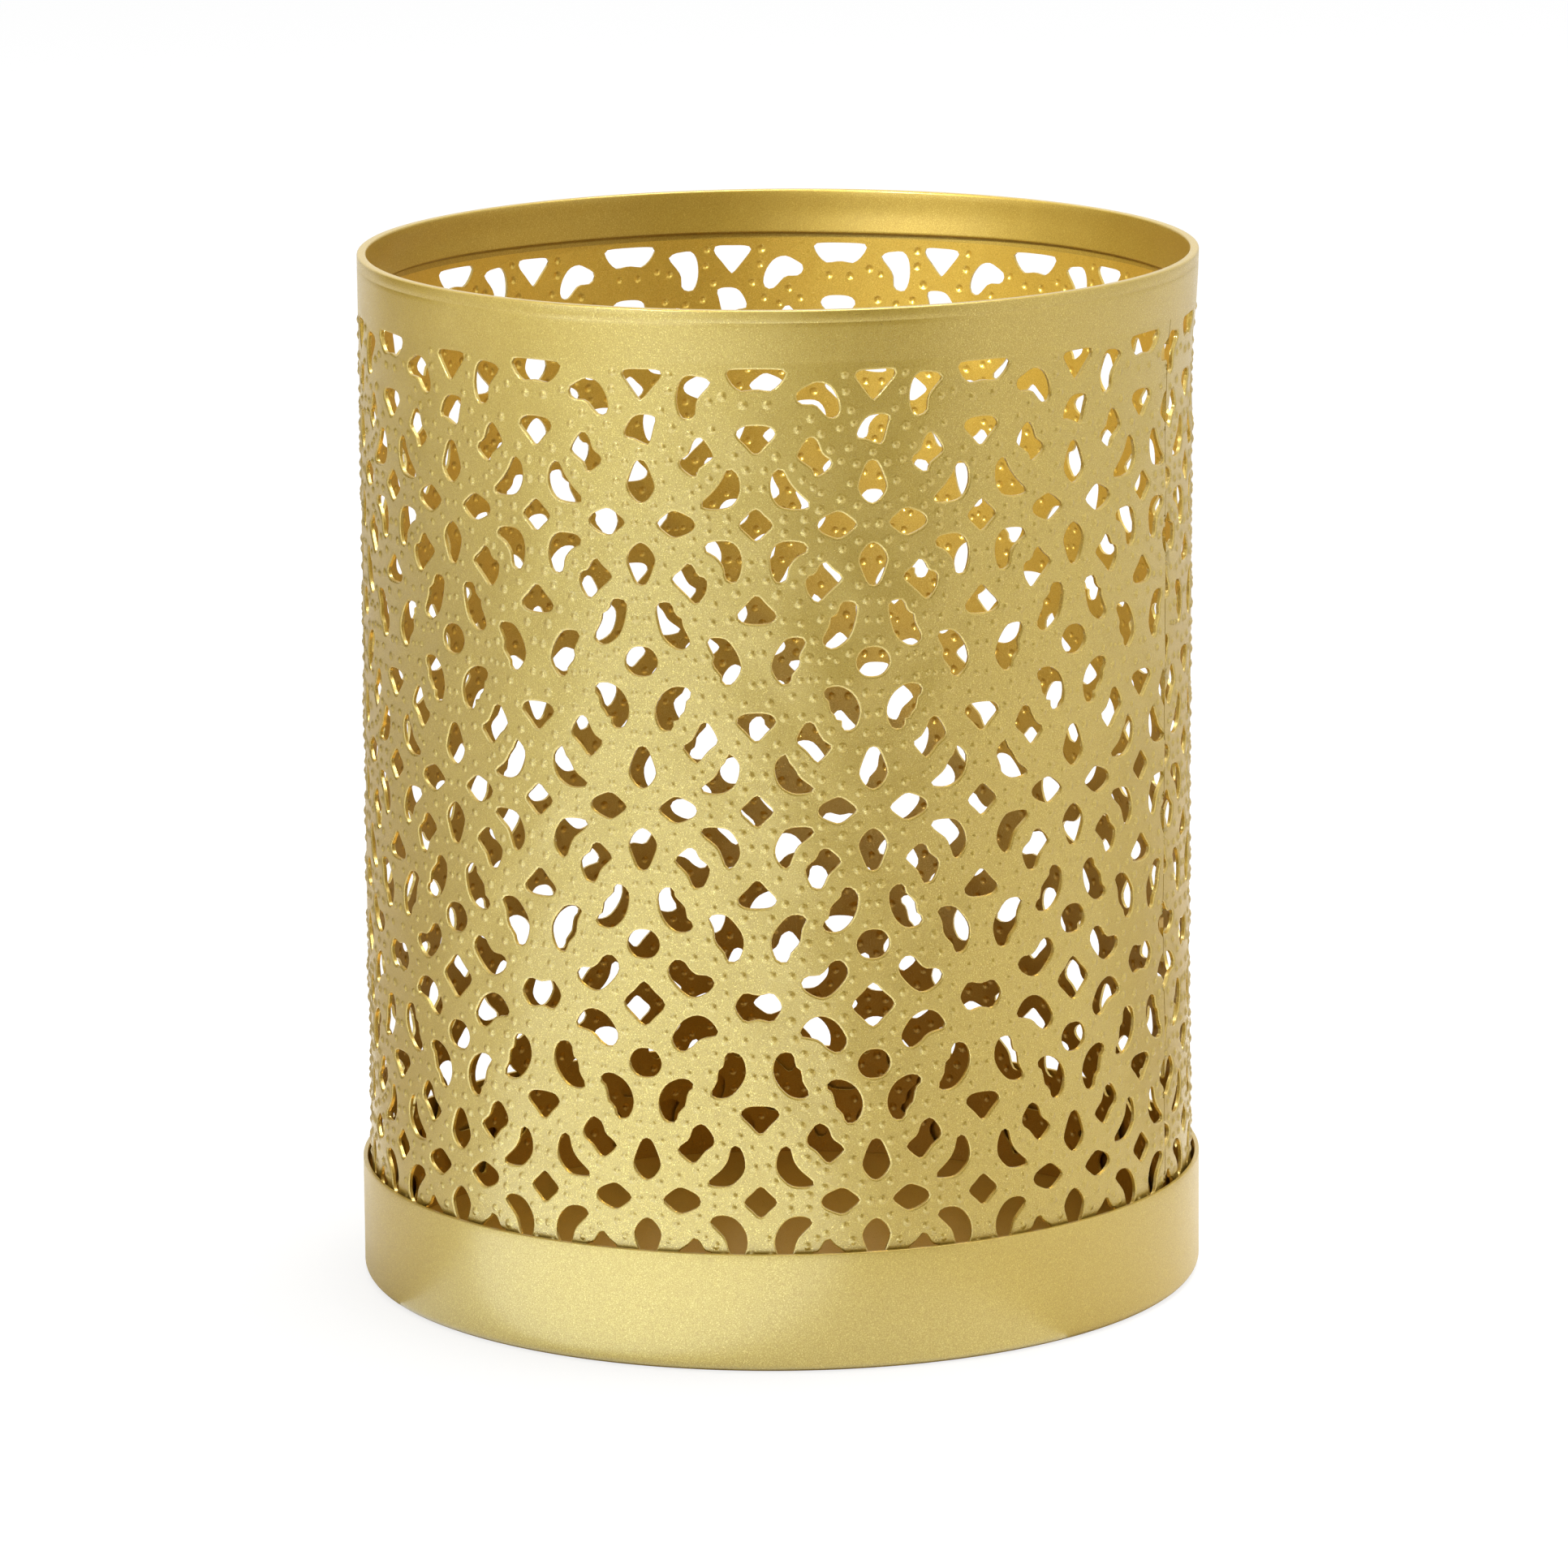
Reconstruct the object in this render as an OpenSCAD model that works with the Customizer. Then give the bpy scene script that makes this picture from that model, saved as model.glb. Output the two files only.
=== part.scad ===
// A pierced tealight lantern, in millimetres.
// A sleeve of thin sheet, rolled and folded over at the top, stands in a shallow drawn cup.
// The lantern stands on z = 0 with its axis on the z axis, and its front faces -Y.
// The sleeve's wall is punched with rows of rosettes, with diamonds, fans and beans between them.
// Places and outlines in the pattern are shares of half the width of one repeat.
// Their first number runs to the right as seen from outside, and their second runs up.
// The pattern widens with the sleeve's radius and lengthens with its height.

/* [Overall] */
// Outside radius of the base cup
cup_r = 40; // [33:0.5:48]
// Height from the table to the top of the rim
total_h = 98; // [80:0.5:120]

/* [Base cup] */
// Height of the cup's wall, measured from the table
cup_h = 11.2; // [8:0.2:14]
// Thickness of the cup's sheet
cup_sheet_t = 0.45; // [0.3:0.05:0.7]
// Inside radius of the bend between the cup's floor and its wall
cup_bend_r = 0.3; // [0.1:0.05:0.34]
// Gap all round between the sleeve and the cup's wall
cup_gap = 0.35; // [0.35:0.05:0.6]

/* [Sleeve] */
// Thickness of the sleeve's sheet
sleeve_sheet_t = 0.4; // [0.3:0.05:0.6]
// How far the wall draws in at two heights, which also parts its surface into bands
wall_draw = 0.03; // [0.02:0.01:0.05]
// Depth of the band folded inwards at the rim
hem_depth = 4.2; // [2:0.1:4.6]
// Air left between the two layers of the folded rim, which is closed up in this model
hem_gap = 0.05; // [0:0.01:0.2]
// Angle of the seam where the rolled sheet meets itself, which is closed up, from +X towards +Y
seam_turn = -23; // [-24:0.5:-22]

/* [Seam tacks] */
// Width of a tack weld's bead, on the inside of the seam
tack_w = 1.2; // [0.8:0.1:1.6]
// Height of a tack weld's bead above the sheet
tack_h = 0.3; // [0.1:0.05:0.5]
// Length of a tack weld along the seam
tack_l = 3; // [1:0.25:4]
// Air left between a bead and the sheet where the wall draws in most
tack_clearance = 0.03; // [0.02:0.01:0.1]
// Heights of the tack welds, as shares of the sleeve's height
tack_height_shares = [0.06, 0.34, 0.63, 0.9];

/* [Grip dots] */
// Radius of a dot embossed in the sleeve where it grips the cup
dot_r = 0.4; // [0.3:0.05:0.45]
// Air left between a dot and the cup's wall
dot_clearance = 0.02; // [0.01:0.01:0.1]
// Height of the ring of dots
dot_z = 5.6; // [4:0.1:6]

/* [Pattern] */
// Half the width of one repeat, as a share of the sleeve's radius
motif_share = 0.268; // [0.2:0.002:0.27]
// Height of a motif as wide as that, as a share of the sleeve's height
motif_height_share = 0.1077; // [0.1:0.0001:0.1078]
// Angle from one column of rosettes to the next
column_step = 31.1; // [31:0.05:31.2]
// Columns of rosettes round the sleeve
column_count = 11; // [2:1:11]
// Angle from the seam back to the nearest column of rosettes
seam_to_column = 23.1; // [23:0.1:23.2]
// Height of the upper row of rosettes, as a share of the sleeve's height
upper_row_share = 0.8; // [0.798:0.001:0.802]
// Height of the middle row of rosettes, as a share of the sleeve's height
middle_row_share = 0.5315; // [0.5295:0.0005:0.5335]
// Height of the lower row of rosettes, as a share of the sleeve's height
lower_row_share = 0.1585; // [0.1575:0.0005:0.161]

/* [Petals] */
// Place of an upright petal
petal_at_shares = [0, 0.361];
// Outline of an upright petal
petal_shares = [[0, -0.183], [0.123, -0.063], [0, 0.183], [-0.123, -0.063]];
// Place of a level petal
level_petal_at_shares = [0.319, 0];
// Outline of a level petal
level_petal_shares = [[-0.174, 0], [-0.029, 0.109], [0.174, 0], [-0.029, -0.109]];
// Place of a slanting petal
slant_petal_at_shares = [0.449, 0.507];
// Outline of a slanting petal
slant_petal_shares = [[0.043, 0.181], [0.159, 0.043], [-0.029, -0.174], [-0.167, -0.058]];
// Place of a slanting petal where the row has more room above it
far_petal_at_shares = [0.507, 0.587];
// Outline of a slanting petal where the row has more room above it
far_petal_shares = [[0.036, 0.167], [0.138, 0.022], [-0.029, -0.167], [-0.145, -0.08]];

/* [Between the rosettes] */
// Place of a crescent
crescent_at_shares = [0.732, 0.304];
// Outline of a crescent
crescent_shares = [[0.072, 0.181], [0.152, 0.029], [0.08, -0.159], [-0.174, -0.152]];
// Outline of a small diamond
diamond_shares = [[0.141, 0], [0, 0.141], [-0.141, 0], [0, -0.141]];
// Height of a fan above the middle of its row
fan_at_share = 0.721;
// Outline of a fan
fan_shares = [[0, -0.13], [0.181, 0.109], [-0.181, 0.109]];
// Place of a bean next to a rosette
bean_at_shares = [0.283, 0.884];
// Outline of a bean next to a rosette
bean_shares = [[-0.022, -0.196], [-0.159, -0.087], [-0.043, 0.196], [0.159, 0.152]];
// Height of a round above the middle of its row
round_at_share = 1.198;
// Outline of a round
round_shares = [
  [0.149, 0], [0.08, 0.122], [-0.08, 0.122],
  [-0.149, 0], [-0.08, -0.122], [0.08, -0.122]
];
// Place of an outer bean
outer_bean_at_shares = [0.754, 1.123];
// Place of an outer bean between the two upper rows
narrow_bean_at_shares = [0.754, 1.181];
// Outline of an outer bean
outer_bean_shares = [[-0.152, -0.174], [0.094, -0.138], [0.145, 0.065], [0.014, 0.217]];

/* [Wide band] */
// Place of a long bean
long_bean_at_shares = [0.428, 1.486];
// Outline of a long bean
long_bean_shares = [[-0.145, -0.167], [0.196, 0], [0.043, 0.159], [-0.203, -0.051]];
// Height of the wide band's middle above the lower row
band_at_share = 1.733;
// Outline of a large diamond
large_diamond_shares = [[0.181, 0], [0, 0.188], [-0.181, 0], [0, -0.188]];
// Height above a row's middle where its rosettes leave the wall clear all round
clear_line_share = 0.1465;
// Height above the lower row where one of the wall's bands ends
band_edge_share = 1.7;
// Outline of a long hexagon
hexagon_shares = [
  [0.203, 0], [0.116, 0.127], [-0.116, 0.127],
  [-0.203, 0], [-0.116, -0.127], [0.116, -0.127]
];

/* [Top edge] */
// Height of a bell above the upper row
bell_at_share = 0.815;
// Outline of a bell
bell_shares = [[-0.138, -0.029], [-0.043, 0.123], [0.138, 0.116], [0.043, -0.13]];
// Height of a wedge above the upper row
wedge_at_share = 1.199;
// Outline of a wedge
wedge_shares = [[-0.181, 0.116], [0.181, 0.116], [0, -0.145]];
// Place of a comma
comma_at_shares = [0.449, 1.112];
// Outline of a comma
comma_shares = [[0.181, 0.109], [-0.101, 0.159], [-0.13, -0.072], [-0.029, -0.21]];
// Height of a shield above the upper row
shield_at_share = 1.257;
// Outline of a shield
shield_shares = [[-0.246, 0.087], [0.246, 0.087], [0.138, -0.094], [-0.138, -0.094]];

/* [Hidden] */
$fn = 96;
cup_inner_r = cup_r - cup_sheet_t;
cup_outer_bend_r = cup_bend_r + cup_sheet_t;
sleeve_r = cup_inner_r - cup_gap;
sleeve_inner_r = sleeve_r - sleeve_sheet_t;
sleeve_h = total_h - cup_sheet_t;
hem_t = 2 * sleeve_sheet_t + hem_gap;
lip_r = hem_t / 2;
motif_w = motif_share * sleeve_r;
motif_h = motif_height_share * sleeve_h;
upper_row_z = cup_sheet_t + upper_row_share * sleeve_h;
middle_row_z = cup_sheet_t + middle_row_share * sleeve_h;
lower_row_z = cup_sheet_t + lower_row_share * sleeve_h;
first_turn = seam_turn - seam_to_column - (column_count - 1) * column_step;
last_turn = seam_turn - seam_to_column;
// A punch starts and ends this far off the two faces of the sheet, so that it cuts cleanly
punch_over = 2 * sleeve_sheet_t;
punch_from_r = sleeve_inner_r - punch_over;
punch_l = sleeve_sheet_t + 2 * punch_over;
dot_h = cup_gap - dot_clearance;

function turn_of(share) = share * motif_share * 180 / PI;

// Half a cross-section of a cup, filled in, with a rounded corner at the bottom
module cup_profile(r, h, bend_r) {
  square([r - bend_r, h]);
  translate([0, bend_r])
    square([r, h - bend_r]);
  translate([r - bend_r, bend_r])
    circle(bend_r);
}

module base_cup() {
  color("goldenrod")
    difference() {
      rotate_extrude()
        cup_profile(cup_r, cup_h, cup_outer_bend_r);
      translate([0, 0, cup_sheet_t])
        rotate_extrude()
          cup_profile(cup_inner_r, cup_h, cup_bend_r);
    }
}

// One punch through the sleeve's wall, with its outline's zero point at the given turn and height
module punch(turn, z, outline) {
  rotate([0, 0, turn])
    translate([punch_from_r, 0, z])
      rotate([90, 0, 90])
        linear_extrude(height = punch_l)
          polygon([for (p = outline) [p[0] * motif_w, p[1] * motif_h]]);
}

// A shape on its column's axis, above its row (up = 1) or below it, turned over (up = -1)
module on_axis(turn, z, up, at_share, outline) {
  punch(turn, z + up * at_share * motif_h, [for (p = outline) [p[0], up * p[1]]]);
}

// A shape beside its column's axis, and its mirror image on the other side
module beside(turn, z, up, at_shares, outline, sides = [-1, 1]) {
  for (side = sides)
    punch(
      turn + side * turn_of(at_shares[0]),
      z + up * at_shares[1] * motif_h,
      [for (p = outline) [side * p[0], up * p[1]]]
    );
}

// The upright and level petals that every rosette has
module rosette(turn, z) {
  for (up = [-1, 1])
    on_axis(turn, z, up, petal_at_shares[1], petal_shares);
  beside(turn, z, 1, level_petal_at_shares, level_petal_shares);
}

module crescents(turn, z, sides = [-1, 1]) {
  for (up = [-1, 1])
    beside(turn, z, up, crescent_at_shares, crescent_shares, sides);
}

// The lower half of a rosette and what hangs below it
module below(turn, z, outer_at_shares) {
  beside(turn, z, -1, slant_petal_at_shares, slant_petal_shares);
  beside(turn, z, -1, bean_at_shares, bean_shares);
  on_axis(turn, z, -1, round_at_share, round_shares);
  beside(turn, z, -1, outer_at_shares, outer_bean_shares);
}

// Every opening between two diamond columns, apart from those that the cup would hide
module rosette_column(turn) {
  for (z = [upper_row_z, middle_row_z, lower_row_z]) {
    rosette(turn, z);
    crescents(turn, z);
  }
  for (z = [upper_row_z, middle_row_z])
    beside(turn, z, 1, far_petal_at_shares, far_petal_shares);
  beside(turn, lower_row_z, 1, slant_petal_at_shares, slant_petal_shares);
  below(turn, upper_row_z, narrow_bean_at_shares);
  below(turn, middle_row_z, outer_bean_at_shares);
  for (z = [middle_row_z, lower_row_z])
    beside(turn, z, 1, bean_at_shares, bean_shares);
  on_axis(turn, lower_row_z, 1, round_at_share, round_shares);
  beside(turn, lower_row_z, 1, outer_bean_at_shares, outer_bean_shares);
  beside(turn, middle_row_z, -1, long_bean_at_shares, long_bean_shares);
  beside(turn, lower_row_z, 1, long_bean_at_shares, long_bean_shares);
  on_axis(turn, lower_row_z, 1, band_at_share, large_diamond_shares);
  on_axis(turn, upper_row_z, 1, bell_at_share, bell_shares);
  on_axis(turn, upper_row_z, 1, wedge_at_share, wedge_shares);
  beside(turn, upper_row_z, 1, comma_at_shares, comma_shares);
}

// The diamonds, fans, hexagon and shield halfway between two rosette columns
module diamond_column(turn) {
  for (z = [upper_row_z, middle_row_z, lower_row_z]) {
    punch(turn, z, diamond_shares);
    on_axis(turn, z, 1, fan_at_share, fan_shares);
  }
  for (z = [upper_row_z, middle_row_z])
    on_axis(turn, z, -1, fan_at_share, fan_shares);
  on_axis(turn, lower_row_z, 1, band_at_share, hexagon_shares);
  on_axis(turn, upper_row_z, 1, shield_at_share, shield_shares);
}

// What is left of a repeat where the sheet ends at the seam
module end_column(turn, side) {
  for (z = [upper_row_z, middle_row_z, lower_row_z])
    crescents(turn, z, [side]);
  beside(turn, upper_row_z, -1, narrow_bean_at_shares, outer_bean_shares, [side]);
  beside(turn, middle_row_z, -1, outer_bean_at_shares, outer_bean_shares, [side]);
  beside(turn, lower_row_z, 1, outer_bean_at_shares, outer_bean_shares, [side]);
}

// The wall's cross-section, a strip that is drawn in twice and is straight at the top
module wall() {
  heights = [
    cup_sheet_t,
    lower_row_z + clear_line_share * motif_h,
    lower_row_z + band_edge_share * motif_h,
    middle_row_z + clear_line_share * motif_h,
    upper_row_z + clear_line_share * motif_h,
    total_h - lip_r
  ];
  draws = [0, wall_draw, 0, wall_draw, 0, 0];
  outside = [for (k = [0 : 5]) [sleeve_r - draws[k], heights[k]]];
  inside = [for (k = [5 : -1 : 0]) [sleeve_inner_r - draws[k], heights[k]]];
  polygon(concat(outside, inside));
}

// The rim's two layers, with the fold rounded over at the top
module hem() {
  translate([sleeve_r - hem_t, total_h - hem_depth])
    square([hem_t, hem_depth - lip_r]);
  translate([sleeve_r - lip_r, total_h - lip_r])
    circle(lip_r);
}

// A dot pressed outwards from the wall, reaching almost to the cup
module grip_dot(turn) {
  rotate([0, 0, turn])
    translate([sleeve_r - sleeve_sheet_t / 2, 0, dot_z])
      rotate([0, 90, 0])
        cylinder(h = dot_h + sleeve_sheet_t / 2, r = dot_r);
}

// A curved block centred on the seam, between two radii and two heights
module seam_block(from_r, from_z, w, t, h) {
  turn = w / sleeve_r * 180 / PI;
  rotate([0, 0, seam_turn - turn / 2])
    rotate_extrude(angle = turn)
      translate([from_r, from_z])
        square([t, h]);
}

module pierced_sleeve() {
  color("gold")
    difference() {
      union() {
        rotate_extrude() {
          wall();
          hem();
        }
        for (column = [0 : 0.5 : column_count - 1])
          grip_dot(first_turn + column * column_step);
      }
      for (column = [0 : column_count - 1])
        rosette_column(first_turn + column * column_step);
      for (column = [0 : column_count])
        diamond_column(first_turn + (column - 0.5) * column_step);
      end_column(first_turn - column_step, 1);
      end_column(last_turn + column_step, -1);
    }
}

// A tack weld's bead, which lies on the inside of the sheet
module tack(from_z) {
  face_r = sleeve_inner_r - wall_draw - tack_clearance;
  seam_block(face_r - tack_h, from_z, tack_w, tack_h, tack_l);
}

module seam_tacks() {
  color("darkgoldenrod")
    for (share = tack_height_shares)
      tack(cup_sheet_t + share * sleeve_h);
}

base_cup();
pierced_sleeve();
seam_tacks();
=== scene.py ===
import bmesh
import bpy
import math
import numpy as np
from mathutils import Matrix, Vector
from mathutils.geometry import delaunay_2d_cdt


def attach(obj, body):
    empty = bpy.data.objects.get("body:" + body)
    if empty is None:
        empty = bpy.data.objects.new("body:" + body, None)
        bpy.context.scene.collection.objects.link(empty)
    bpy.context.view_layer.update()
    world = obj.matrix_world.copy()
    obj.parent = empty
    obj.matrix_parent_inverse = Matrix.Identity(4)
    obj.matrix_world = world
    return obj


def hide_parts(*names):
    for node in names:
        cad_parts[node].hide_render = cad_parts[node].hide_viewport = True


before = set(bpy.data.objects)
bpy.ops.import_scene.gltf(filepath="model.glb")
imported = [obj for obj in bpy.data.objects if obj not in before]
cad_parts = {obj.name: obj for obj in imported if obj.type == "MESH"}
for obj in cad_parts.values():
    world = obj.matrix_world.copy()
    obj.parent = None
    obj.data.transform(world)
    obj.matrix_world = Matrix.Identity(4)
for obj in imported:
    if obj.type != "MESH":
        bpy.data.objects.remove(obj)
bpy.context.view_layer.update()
print("frame loaded:", sorted(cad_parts))

mm = 0.001
dice = np.random.default_rng(11)


def addMesh(name, points, triangles, normals, materialOf, materials):
    # points in mm, triangles as rows of three point numbers, one normal for each corner of each triangle
    mesh = bpy.data.meshes.new(name)
    mesh.from_pydata((points * mm).tolist(), [], triangles.tolist())
    for material in materials:
        mesh.materials.append(material)
    mesh.polygons.foreach_set("material_index", materialOf.astype(np.int32))
    mesh.polygons.foreach_set("use_smooth", np.ones(len(triangles), bool))
    mesh.update()
    mesh.normals_split_custom_set(normals.reshape(-1, 3).tolist())
    piece = bpy.data.objects.new(name, mesh)
    bpy.context.scene.collection.objects.link(piece)
    return piece


def unit(vectors):
    # each row divided by its own length
    return vectors / np.maximum(np.linalg.norm(vectors, axis=-1, keepdims=True), 1e-9)


def evenOutline(points, count):
    # a closed curve through the points, each span a cubic of its four nearest points (Catmull-Rom),
    # then read off at equal steps of its length
    points = np.array(points, float)
    total = len(points)
    at = np.linspace(0, total, count * 6, endpoint=False)   # six for each point that is kept
    k, t = at.astype(int), (at % 1)[:, None]
    a, b, c, d = (points[(k + shift) % total] for shift in (-1, 0, 1, 2))
    curve = 0.5 * (2 * b + (c - a) * t + (2 * a - 5 * b + 4 * c - d) * t**2
                   + (3 * b - a - 3 * c + d) * t**3)
    curve = np.vstack([curve, curve[:1]])
    length = np.r_[0, np.cumsum(np.linalg.norm(np.diff(curve, axis=0), axis=1))]
    steps = np.linspace(0, length[-1], count, endpoint=False)
    return np.stack([np.interp(steps, length, curve[:, i]) for i in (0, 1)], 1)


class Wire:
    # wraps a socket, so that + - * on it add Math nodes
    def __init__(self, tree, socket):
        self.tree, self.socket = tree, socket

    def math(self, operation, other):
        # a Math node of this wire and another one, or a number
        node = self.tree.tree.nodes.new("ShaderNodeMath")
        node.operation = operation
        for slot, value in zip(node.inputs, (self, other)):
            self.tree.put(slot, value)
        return Wire(self.tree, node.outputs[0])

    def __add__(self, other):
        return self.math("ADD", other)

    def __sub__(self, other):
        return self.math("SUBTRACT", other)

    def __mul__(self, other):
        return self.math("MULTIPLY", other)

    def __rsub__(self, other):
        return (self * -1) + other

    __radd__, __rmul__ = __add__, __mul__

    def clip(self, low=0.0, high=1.0):
        # no less than low and no more than high
        return self.math("MAXIMUM", low).math("MINIMUM", high)

    def step(self, start, end):
        # 0 below start, 1 above end and smooth in between
        node = self.tree.node("ShaderNodeMapRange", {"interpolation_type": "SMOOTHSTEP"},
                              {"Value": self, "From Min": start, "From Max": end})
        return node["Result"]


class Paint:
    # the node tree of a material or of the world, emptied first
    def __init__(self, owner):
        owner.use_nodes = True
        self.owner, self.tree = owner, owner.node_tree
        self.tree.nodes.clear()

    def put(self, slot, value):
        # a wire is linked to the socket, and a number or a colour is set on it
        if isinstance(value, Wire):
            self.tree.links.new(value.socket, slot)
        else:
            slot.default_value = value

    def node(self, kind, settings=None, sockets=None):
        # a node from its type, its settings and the values or wires of its sockets, as its outputs by name
        made = self.tree.nodes.new(kind)
        for key, value in (settings or {}).items():
            setattr(made, key, value)
        for key, value in (sockets or {}).items():
            self.put(made.inputs[key], value)
        return {s.name: Wire(self, s) for s in made.outputs if s.enabled}

    def noise(self, where, scale, detail, roughness):
        # soft noise between 0 and 1, with about scale lumps to a metre
        return self.node("ShaderNodeTexNoise", {}, {"Vector": where, "Scale": scale, "Detail": detail,
                                                    "Roughness": roughness})["Fac"]

    def mix(self, share, a, b):
        # colour a where the share is 0, colour b where it is 1
        made = self.tree.nodes.new("ShaderNodeMix")
        made.data_type = "RGBA"
        self.put(made.inputs[0], share)
        for slot, value in ((made.inputs[6], a), (made.inputs[7], b)):
            self.put(slot, value if isinstance(value, Wire) else (*value, 1))
        return Wire(self, made.outputs[2])

    def mixShader(self, share, a, b):
        # shader a where the share is 0, shader b where it is 1
        made = self.tree.nodes.new("ShaderNodeMixShader")
        for slot, value in zip(made.inputs, (share, a, b)):
            self.put(slot, value)
        return Wire(self, made.outputs[0])


goldPaint = {
    "light": (0.77, 0.60, 0.16),       # flakes that catch the light
    "main": (0.52, 0.38, 0.062),
    "deep": (0.40, 0.265, 0.035),      # thin places between the flakes
    "metallic": 0.48,
    "flakeMetallic": 0.95,
    "edgeTint": (1.0, 0.86, 0.52),     # keeps the turned-away metal golden
    "roughness": 0.36,
    "warmFade": (0, 0.16, 0.45),       # red, green and blue that a fully warm paint loses
    "flakeNoise": (9500, 2, 0.65),     # scale, about a tenth of a millimetre, detail and roughness
    "coarseNoise": (3135, 2, 0.6),     # the coarser flakes
    "coarseShare": 0.1,                # how much they count in the colour
    "coarseBump": 0.2,                 # and in the bump
    "flakeBump": 0.26,
    "bumpDistance": 0.1,               # mm
    "mainFrom": (0.30, 0.62),          # where on the flakes' noise one tone goes over into the next
    "lightFrom": (0.56, 0.72),
    "sparkFrom": (0.54, 0.68),
    "sparkSmooth": 0.14,               # how much smoother a flake is
    "leastLight": 0.3,                 # the light tone and the glint that are left without grain
    "leastSpark": 0.1,
    "roughRange": (0.2, 0.8),
    "coat": 0.62,                      # clear lacquer over the flakes
    "coatRoughness": 0.26,
    "coatIor": 1.78,
    "thin": (0.23, 0.088, 0.002),      # painted shade: the darker brown mixed in down inside
    "thinHeights": (0.015, 0.092),     # metres
    "cloudNoise": (55, 3, 0.55),       # wide unevenness
    "cloudFrom": (0.35, 0.7),
    "cloudShare": 0.10,
    "hazeNoise": (420, 3, 0.6),
    "hazeFrom": (0.5, 0.75),
    "hazeShare": 0.05,
    "hazeRough": 0.10,
    "hazeBump": 0.02,
    "hazeDistance": 0.4,               # mm
}


def paintGold(name, tone=1.0, warmth=0.0, roughness=0.0, coat=1.0, metal=0.0, grain=1.0, thinning=0.0):
    # two noises make the flakes and two wider ones the unevenness; grain is the share of the flakes' bump
    # and glint, and thinning is how much painted shade, darker and browner, is mixed in from the rim down
    # to the floor
    gold = goldPaint
    p = Paint(bpy.data.materials.new(name))
    where = p.node("ShaderNodeTexCoord")["Object"]
    flake, coarse, cloud, haze = (p.noise(where, *gold[k]) for k in (
        "flakeNoise", "coarseNoise", "cloudNoise", "hazeNoise"))
    speckle = flake * (1 - gold["coarseShare"]) + coarse * gold["coarseShare"]
    deep, main, light = (tuple(c * tone * (1 - fade * warmth) for c, fade in zip(gold[k], gold["warmFade"]))
                         for k in ("deep", "main", "light"))
    body = p.mix(speckle.step(*gold["mainFrom"]), deep, main)
    body = p.mix(speckle.step(*gold["lightFrom"]) * min(1, grain + gold["leastLight"]), body, light)
    body = p.mix(cloud.step(*gold["cloudFrom"]) * gold["cloudShare"], body, deep)
    body = p.mix(haze.step(*gold["hazeFrom"]) * gold["hazeShare"], body, light)
    # painted shade: darker and browner from the rim down to the floor, for the shade deep inside the tube
    if thinning:
        height = p.node("ShaderNodeSeparateXYZ", {}, {"Vector": where})["Z"]
        body = p.mix((1 - height.step(*gold["thinHeights"])) * thinning, body, gold["thin"])
    spark = speckle.step(*gold["sparkFrom"]) * min(1, grain + gold["leastSpark"])
    rough = (gold["roughness"] + roughness + (haze - 0.5) * gold["hazeRough"]
             - spark * gold["sparkSmooth"])
    plain = gold["metallic"] + metal
    metallic = plain + spark * (gold["flakeMetallic"] - plain)
    grainBump = p.node("ShaderNodeBump", {}, {
        "Strength": gold["flakeBump"] * grain, "Distance": gold["bumpDistance"] * mm,
        "Height": flake * (1 - gold["coarseBump"]) + coarse * gold["coarseBump"]})["Normal"]
    bump = p.node("ShaderNodeBump", {}, {
        "Strength": gold["hazeBump"], "Distance": gold["hazeDistance"] * mm, "Height": haze,
        "Normal": grainBump})["Normal"]
    shader = p.node("ShaderNodeBsdfPrincipled", {}, {
        "Base Color": body, "Metallic": metallic, "Roughness": rough.clip(*gold["roughRange"]),
        "Normal": bump, "Specular Tint": (*gold["edgeTint"], 1), "Coat Weight": gold["coat"] * coat,
        "Coat Roughness": gold["coatRoughness"], "Coat IOR": gold["coatIor"]})["BSDF"]
    p.node("ShaderNodeOutputMaterial", {}, {"Surface": shader})
    return p.owner


goldOutside = paintGold("goldOutside")
# the same paint as outside, made lighter and warmer: painted light for the light that comes in and bounces
# gold off gold inside, and painted shade that darkens it towards the floor
goldInside = paintGold("goldInside", tone=1.3, warmth=0.4, roughness=-0.04, coat=0.45, metal=0.15,
                       grain=0.35, thinning=0.55)
# the same paint, lighter and glossier on the punched edges: its lighter tone is a painted highlight along
# the edges
goldCut = paintGold("goldCut", tone=1.15, warmth=0.1, roughness=-0.08, coat=1.1, grain=0.5)
# painted shade: a dark brown copy of the paint for the crease under the fold's lower edge
goldPaintedShade = paintGold("goldPaintedShade", tone=0.65, warmth=0.9, roughness=0.1, coat=0.1)
# a darker, warmer copy of the outside paint on the fold's inside and the wall below it: painted shade
goldFold = paintGold("goldFold", tone=0.88, warmth=0.35, roughness=0.05, coat=0.5, metal=0.1, grain=0.4)
# a little lighter on the cup, a painted highlight that widens its sheen; the finer grain is the cup's own
goldBase = paintGold("goldBase", tone=1.06, roughness=0.05, grain=0.45)
paints = [goldOutside, goldInside, goldCut, goldPaintedShade, goldFold, goldBase]
outsidePaint, insidePaint, cutPaint, paintedShadePaint, foldPaint, basePaint = range(6)   # places in the list
print("paints mixed")


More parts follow.
